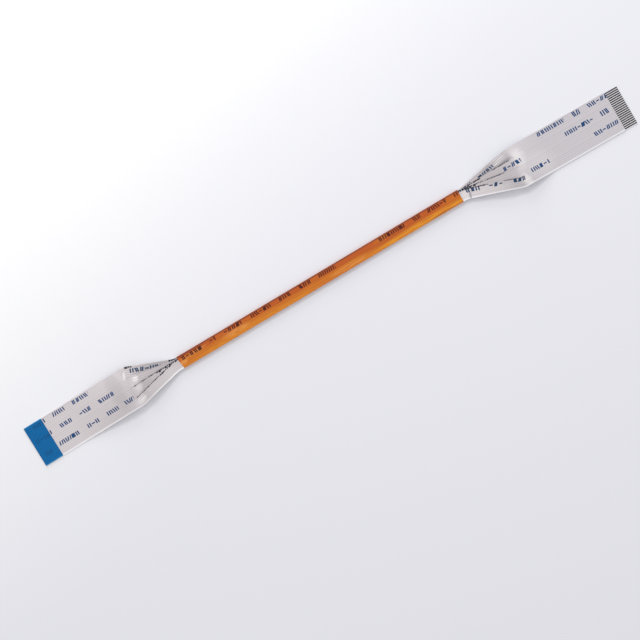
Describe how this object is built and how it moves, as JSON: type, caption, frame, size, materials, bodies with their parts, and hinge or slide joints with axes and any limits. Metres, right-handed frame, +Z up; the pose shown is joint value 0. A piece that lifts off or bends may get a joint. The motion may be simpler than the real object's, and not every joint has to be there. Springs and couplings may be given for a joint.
{
  "type": "flat flexible ribbon cable",
  "caption": "Flat flexible ribbon cable whose middle is slit into strips, stacked and wrapped in amber tape, with bare contacts and a blue stiffener at each tip.",
  "frame": {"origin": "middle of the underside of the cable's box, on the table that the cable lies on", "axes": "+X along the wrapped middle to the end whose contacts face up, +Z up from the table"},
  "size_m": [0.3208, 0.0253, 0.0041],
  "materials": {
    "film": null,
    "under_film": "white polyester film, soft gloss",
    "stiffener": "blue polyester stiffener, satin",
    "tape": "clear amber polyimide tape, glossy, twice as deep where it overlaps",
    "conductor": "flat copper with a tin finish, satin"
  },
  "bodies": {
    "root": {"upper_film": "film", "lower_film": "under_film", "left_stiffener": "stiffener", "right_stiffener": "stiffener", "polyimide_wrap": "tape", "conductor_01": "conductor", "conductor_02": "conductor", "conductor_03": "conductor", "conductor_04": "conductor", "conductor_05": "conductor", "conductor_06": "conductor", "conductor_07": "conductor", "conductor_08": "conductor", "conductor_09": "conductor", "conductor_10": "conductor", "conductor_11": "conductor", "conductor_12": "conductor", "conductor_13": "conductor", "conductor_14": "conductor", "conductor_15": "conductor", "conductor_16": "conductor", "conductor_17": "conductor", "conductor_18": "conductor", "conductor_19": "conductor", "conductor_20": "conductor"}
  },
  "joints": []
}
